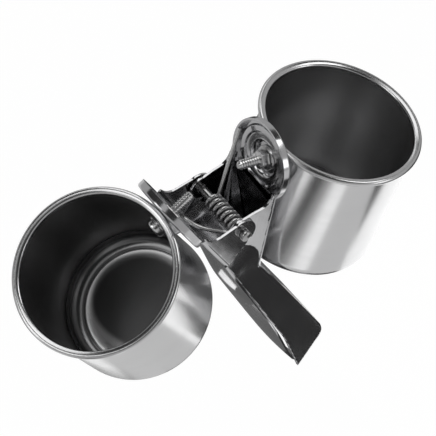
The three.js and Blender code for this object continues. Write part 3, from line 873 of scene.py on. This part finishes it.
# Bolts, nuts, washers and pin
def add_thread(mesh, start, end):
    """A helical ridge on a bolt's shank along X, spun from one tooth."""
    turns = int((end - start) / THREAD_PITCH)
    root = BOLT_RADIUS - THREAD_DEPTH
    crest = BOLT_RADIUS
    tooth = [(0.0, root), (0.1, root), (0.42, crest), (0.58, crest), (0.9, root), (1.0, root)]
    verts = [mesh.verts.new((start + THREAD_PITCH * along, 0, height)) for along, height in tooth]
    edges = [mesh.edges.new(pair) for pair in zip(verts, verts[1:])]
    bmesh.ops.spin(
        mesh,
        geom=verts + edges,
        cent=(0, 0, 0),
        axis=(1, 0, 0),
        dvec=(THREAD_PITCH / THREAD_STEPS, 0, 0),
        angle=2 * pi * turns,
        steps=THREAD_STEPS * turns,
        use_merge=False,
    )


def make_bolt(side, material):
    """A pan-headed bolt, its head in the cup and its thread through the pad."""
    face = WASHER_FACE - WASHER_THICKNESS - SEAT
    root = BOLT_RADIUS - THREAD_DEPTH
    head_centre = (HEAD_RADIUS - HEAD_CORNER, face - HEAD_HEIGHT + HEAD_CORNER)
    profile = [(0, face - HEAD_HEIGHT - HEAD_CROWN)]
    profile += arc(head_centre, HEAD_CORNER, -pi / 2, 0, 6)
    profile += [(HEAD_RADIUS, face), (BOLT_RADIUS, face), (BOLT_RADIUS, BOSS_FACE)]
    profile += [(root, BOSS_FACE + THREAD_RELIEF), (root, BOLT_TIP - BOLT_CHAMFER)]
    profile += [(root - BOLT_CHAMFER, BOLT_TIP), (0, BOLT_TIP)]
    mesh = turned_shape(profile, BOLT_SEGMENTS, "X")
    add_thread(mesh, BOSS_FACE + THREAD_START, BOLT_TIP - THREAD_STOP)
    bmesh.ops.remove_doubles(mesh, verts=mesh.verts, dist=1e-4)
    place = bolt_place(side)
    add_piece(mesh, f"{side}_screw", f"{side}_bolt", JAW[side], place, material)


def make_nut(side, material):
    """A hexagon nut in the pad's boss."""
    mesh = bmesh.new()
    bmesh.ops.create_circle(mesh, cap_ends=True, segments=6, radius=NUT_FLATS / sqrt(3))
    made = bmesh.ops.extrude_face_region(mesh, geom=mesh.faces[:])
    moved_verts(mesh, made, (0, 0, NUT_HEIGHT))
    bmesh.ops.recalc_face_normals(mesh, faces=mesh.faces)
    bmesh.ops.bevel(
        mesh,
        geom=mesh.edges[:],
        offset=NUT_CHAMFER,
        segments=2,
        profile=0.5,
        affect="EDGES",
        material=-1,
    )
    turn = Matrix.Rotation(pi / 2, 4, "Y")
    place = lever_place(side) @ Matrix.Translation((NUT_SEAT, 0, PAD_HEIGHT)) @ turn
    name = f"{side}_hex_nut"
    add_piece(mesh, name, f"{side}_nut", JAW[side], place, material, sharp=50)


def make_washer(side, name, start, body, material):
    """A flat washer with broken edges."""
    low, high = start, start + WASHER_THICKNESS
    profile = [
        (HOLE_RADIUS, low + WASHER_CHAMFER),
        (HOLE_RADIUS + WASHER_CHAMFER, low),
        (WASHER_RADIUS - WASHER_CHAMFER, low),
        (WASHER_RADIUS, low + WASHER_CHAMFER),
        (WASHER_RADIUS, high - WASHER_CHAMFER),
        (WASHER_RADIUS - WASHER_CHAMFER, high),
        (HOLE_RADIUS + WASHER_CHAMFER, high),
        (HOLE_RADIUS, high - WASHER_CHAMFER),
        (HOLE_RADIUS, low + WASHER_CHAMFER),
    ]
    mesh = turned_shape(profile, WASHER_SEGMENTS, "X")
    add_piece(mesh, f"{name}_ring", name, body, bolt_place(side), material)


def make_pin(material):
    """The pivot pin, its ends upset over the ears."""
    end = OUTER_HALF_WIDTH + PIN_OVERHANG
    half = [(PIN_RADIUS, OUTER_HALF_WIDTH + SEAT)]
    half += [(PIN_HEAD_RADIUS, end - PIN_HEAD_LENGTH + PIN_HEAD_TAPER)]
    half += [(PIN_HEAD_RADIUS - inset, end - back) for inset, back in PIN_HEAD_ROUNDING]
    half += [(0, end)]
    profile = [(radius, -y) for radius, y in reversed(half)] + half
    mesh = turned_shape(profile, BOLT_SEGMENTS)
    place = lever_place("left") @ Matrix.Rotation(pi / 2, 4, "X")
    add_piece(mesh, "pivot_pin_rod", "pivot_pin", JAW["left"], place, material)


def make_fasteners():
    """The bolt, nut and washers of each side, and the pin."""
    for side in SIDES:
        material = steel(f"{side}_zinc", lever_place(side), **ZINC)
        make_bolt(side, material)
        make_nut(side, material)
        make_washer(side, f"{side}_nut_washer", BOSS_FACE + SEAT, JAW[side], material)
        make_washer(side, f"{side}_cup_washer", WASHER_FACE - WASHER_THICKNESS, CUP[side], material)
    make_pin(steel("pin_steel", lever_place("left"), **PIN_STEEL))


# Torsion spring
def nut_leg_points(coil_y):
    """The near leg in its lever's frame, curving from the coil's side to the face of the nut."""
    face = NUT_FACE + WIRE_RADIUS + SEAT
    top = PAD_HEIGHT - BOLT_RADIUS - WIRE_RADIUS - SEAT
    start = Vector((-COIL_RADIUS, coil_y, 0))
    rise = Vector((-COIL_RADIUS, coil_y, COIL_RADIUS))
    bend = Vector((face, (coil_y - LEG_SIDE) / 2, COIL_RADIUS + top / 4))
    end = Vector((face, -LEG_SIDE, top - 2 * WIRE_RADIUS))
    points = []
    for i in range(LEG_STEPS + 1):
        t = i / LEG_STEPS
        s = 1 - t
        points.append(s ** 3 * start + 3 * s * s * t * rise + 3 * s * t * t * bend + t ** 3 * end)
    return points + [Vector((face, -LEG_SIDE, top))]


def rim_leg_points(coil_y):
    """The far leg in its lever's frame: straight from the coil's side to the far edge of the pad."""
    start = Vector((-COIL_RADIUS, coil_y, 0))
    lift = start + RIM_LEG_LIFT
    return [start] + [lift + (RIM_LEG_END - lift) * i / 10 for i in range(11)]


def spring_points():
    """The wire's line in the left lever's frame: near leg, coil and far leg."""
    near = -(INNER_HALF_WIDTH - SHEET - WIRE_RADIUS - COIL_SIDE_GAP)
    sweep = 2 * pi * COIL_TURNS + pi - JAW_ANGLE
    far = near + COIL_PITCH * sweep / (2 * pi)
    count = int(sweep / (2 * pi) * COIL_STEPS)
    coil = []
    for i in range(1, count):
        angle = pi + sweep * i / count
        y = near + (far - near) * i / count
        coil.append(Vector((COIL_RADIUS * cos(angle), y, COIL_RADIUS * sin(angle))))
    far_leg = []
    for point in rim_leg_points(far):
        x, z = to_inner_lever(point.x, point.z)
        far_leg.append(Vector((x, point.y, z)))
    return list(reversed(nut_leg_points(near))) + coil + far_leg


def make_spring():
    """The spring, one unbroken wire."""
    points = spring_points()
    line = bpy.data.curves.new("spring_line", "CURVE")
    line.dimensions = "3D"
    line.bevel_depth = WIRE_RADIUS
    line.bevel_resolution = 4
    line.use_fill_caps = True
    spline = line.splines.new("POLY")
    spline.points.add(len(points) - 1)
    for target, point in zip(spline.points, points):
        target.co = (*point, 1)
    holder = bpy.data.objects.new("spring_line", line)
    bpy.context.collection.objects.link(holder)
    mesh = bmesh.new()
    mesh.from_mesh(holder.to_mesh())
    holder.to_mesh_clear()
    bpy.data.objects.remove(holder)
    bmesh.ops.remove_doubles(mesh, verts=mesh.verts, dist=1e-4)
    place = lever_place("left")
    add_piece(
        mesh,
        "torsion_spring_wire",
        "torsion_spring",
        (JAW["left"], JAW["right"]),
        place,
        steel("spring_wire", place, **WIRE_STEEL),
        sharp=60,
    )


# Studio
def show_white(finish, white, share, output):
    """Mixes in plain white for what the camera sees, directly or in metal or glass."""
    kinds = ("Is Camera Ray", "Is Glossy Ray", "Is Transmission Ray")
    camera, glossy, through = [finish.node("ShaderNodeLightPath", {}, {}, kind) for kind in kinds]
    seen = camera.math("MAXIMUM", glossy).math("MAXIMUM", through)
    own = Socket(finish, finish.shader.outputs[0])
    shown = finish.node("ShaderNodeMixShader", {}, {0: seen * share, 1: own, 2: white})
    finish.put(finish.tree.nodes[output].inputs["Surface"], shown)


def make_floor():
    """A white floor that keeps a faint shadow."""
    mesh = bmesh.new()
    bmesh.ops.create_grid(mesh, x_segments=2, y_segments=2, size=FLOOR_SIZE)
    bmesh.ops.translate(mesh, verts=mesh.verts, vec=(0, 0, -FLOOR_DROP))
    floor = add_object(mesh, "floor")
    finish = Finish(bpy.data.materials.new("floor_paint"))
    finish.set(Base_Color=(FLOOR_PAINT, FLOOR_PAINT, FLOOR_PAINT, 1), Roughness=0.9)
    glow = finish.node("ShaderNodeEmission", {}, {"Color": (1, 1, 1, 1), "Strength": FLOOR_GLOW})
    show_white(finish, glow, FLOOR_WHITE, "Material Output")
    floor.data.materials.append(finish.material)


def make_world():
    """A dim world that the camera sees as white."""
    world = bpy.data.worlds.new("studio")
    finish = Finish(world, "Background")
    finish.set(Color=(CEILING_TONE, CEILING_TONE, CEILING_TONE, 1))
    white = finish.node("ShaderNodeBackground", {}, {"Color": (1, 1, 1, 1), "Strength": 1.0})
    show_white(finish, white, 1.0, "World Output")
    bpy.context.scene.world = world


def stage_glow(mesh, name, tone):
    """A sheet of the studio that only the metal mirrors."""
    sheet = add_object(mesh, name)
    sheet.visible_camera = False
    sheet.visible_shadow = False
    sheet.visible_diffuse = False
    finish = Finish(bpy.data.materials.new(f"{name}_paper"))
    finish.set(Base_Color=(0, 0, 0, 1), Roughness=1.0, Specular_IOR_Level=0.0)
    finish.set(Emission_Color=(tone, tone, tone, 1), Emission_Strength=1.0)
    sheet.data.materials.append(finish.material)


def make_card(name, low, high, tone, lift=CARD_LIFT):
    """A level sheet above the floor, out of the camera's sight, for the metal to mirror."""
    mesh = bmesh.new()
    corners = [(low[0], low[1]), (high[0], low[1]), (high[0], high[1]), (low[0], high[1])]
    ngon(mesh, [(x, y, lift - FLOOR_DROP) for x, y in corners])
    stage_glow(mesh, name, tone)


def make_tent():
    """A pale wall all round, out of the camera's sight, for the rims and edges to mirror."""
    mesh = bmesh.new()
    bmesh.ops.create_circle(mesh, segments=TENT_SEGMENTS, radius=TENT_RADIUS)
    bmesh.ops.translate(mesh, verts=mesh.verts, vec=(0, 0, -FLOOR_DROP))
    made = bmesh.ops.extrude_edge_only(mesh, edges=mesh.edges[:])
    moved_verts(mesh, made, (0, 0, FLOOR_DROP + TENT_TOP))
    stage_glow(mesh, "tent_wall", TENT_TONE)


def make_ceiling():
    """A dim hood above the tent, out of the camera's sight."""
    mesh = bmesh.new()
    bmesh.ops.create_circle(mesh, segments=TENT_SEGMENTS, radius=TENT_RADIUS, cap_ends=True)
    bmesh.ops.translate(mesh, verts=mesh.verts, vec=(0, 0, CEILING))
    rim = [edge for edge in mesh.edges if edge.is_boundary]
    made = bmesh.ops.extrude_edge_only(mesh, edges=rim)
    moved_verts(mesh, made, (0, 0, TENT_TOP - CEILING))
    stage_glow(mesh, "ceiling_hood", CEILING_TONE)


def make_panel(name, place, size, tone):
    """A square sheet facing the object, out of the camera's sight, for small highlights."""
    mesh = bmesh.new()
    bmesh.ops.create_grid(mesh, x_segments=1, y_segments=1, size=size / 2)
    turn = Vector(place).to_track_quat("Z", "Y").to_matrix().to_4x4()
    bmesh.ops.transform(mesh, matrix=Matrix.Translation(place) @ turn, verts=mesh.verts)
    stage_glow(mesh, name, tone)


def make_lamp(name, place, size, power):
    """A rectangular lamp that faces the object."""
    lamp = bpy.data.lights.new(name, "AREA")
    lamp.shape = "RECTANGLE"
    lamp.size, lamp.size_y = size
    lamp.energy = power
    holder = bpy.data.objects.new(name, lamp)
    turn = (-Vector(place)).to_track_quat("-Z", "Y").to_matrix().to_4x4()
    holder.matrix_world = Matrix.Translation(place) @ turn
    bpy.context.collection.objects.link(holder)


def make_studio():
    """Floor, world, sheets and lamps: the sheets stand for the studio that the steel mirrors."""
    make_floor()
    make_world()
    make_card("grey_sheet", (-3, -3), (3, 3), 0.66, CARD_LIFT / 2)
    make_card("bright_right", (0.13, -0.165), (0.33, 0.24), 1.25)
    make_card("dark_beyond", (0.33, -0.175), (1.8, 1.4), 0.04)
    make_card("dark_far", (0.13, 0.24), (0.33, 1.4), 0.04)
    make_card("bright_left", (-0.3, 0.1), (-0.066, 0.34), 1.2)
    make_card("bright_strip", (-0.31, -0.46), (-0.15, -0.2), 1.2)
    make_card("pale_strip", (-0.36, -0.5), (-0.31, -0.2), 0.8)
    make_card("shade_rim", (-1.3, -0.75), (-0.7, -0.36), 0.05)
    make_card("shade_neck", (-0.5, -0.75), (-0.36, -0.48), 0.2)
    make_card("bright_curl", (-0.95, -0.28), (-0.7, -0.05), 1.2)
    make_card("dark_front", (-0.7, -0.7), (-0.5, -0.05), 0.06)
    make_card("shade_front", (-0.5, -0.48), (-0.39, -0.05), 0.34)
    make_card("shade_under", (-0.022, 0.0), (0.07, 0.13), 0.14, lift=0.25)
    make_card("flag_near", (-0.05, -0.018), (-0.022, 0.055), 0.13, lift=0.335)
    make_card("flag_low", (-0.022, -0.02), (-0.008, 0.01), 0.13, lift=0.335)
    make_card("flag_far", (-0.022, 0.03), (-0.008, 0.055), 0.13, lift=0.335)
    make_card("flag_tip", (0.015, -0.03), (0.06, 0.005), 0.03, lift=0.28)
    make_card("shade_below", (-0.066, 0.105), (0.13, 0.34), 0.2)
    make_card("dark_right", (0.152, -0.6), (1.8, -0.175), 0.03)
    make_card("shade_back", (-1.6, 0.35), (-0.5, 0.67), 0.06)
    make_card("shade_far", (-1.6, 0.67), (-0.3, 1.6), 0.55)
    make_tent()
    make_ceiling()
    make_panel("bright_high", (0.91, -0.35, 0.87), 0.5, 2.4)
    make_panel("bright_overhead", (0.45, 0.7, 1.3), 1.1, 1.3)
    make_panel("bright_back", (-0.97, 0.05, 1.0), 0.65, 1.5)
    make_panel("bright_zenith", (-0.04, 0.2, 1.5), 0.5, 1.5)
    make_panel("bright_side", (0.78, -1.18, 0.05), 0.45, 2.0)
    make_lamp("top_softbox", (-0.5, -0.3, 1.25), (0.4, 0.7), 0.4)
    make_lamp("side_strip", (-1.2, 0.3, 0.5), (0.3, 1.2), 0.9)
    make_lamp("back_strip", (0.4, 1.3, 0.7), (1.2, 0.3), 0.9)


make_cups()
make_levers()
make_fasteners()
make_spring()
make_studio()

bpy.context.scene.view_settings.view_transform = "Standard"
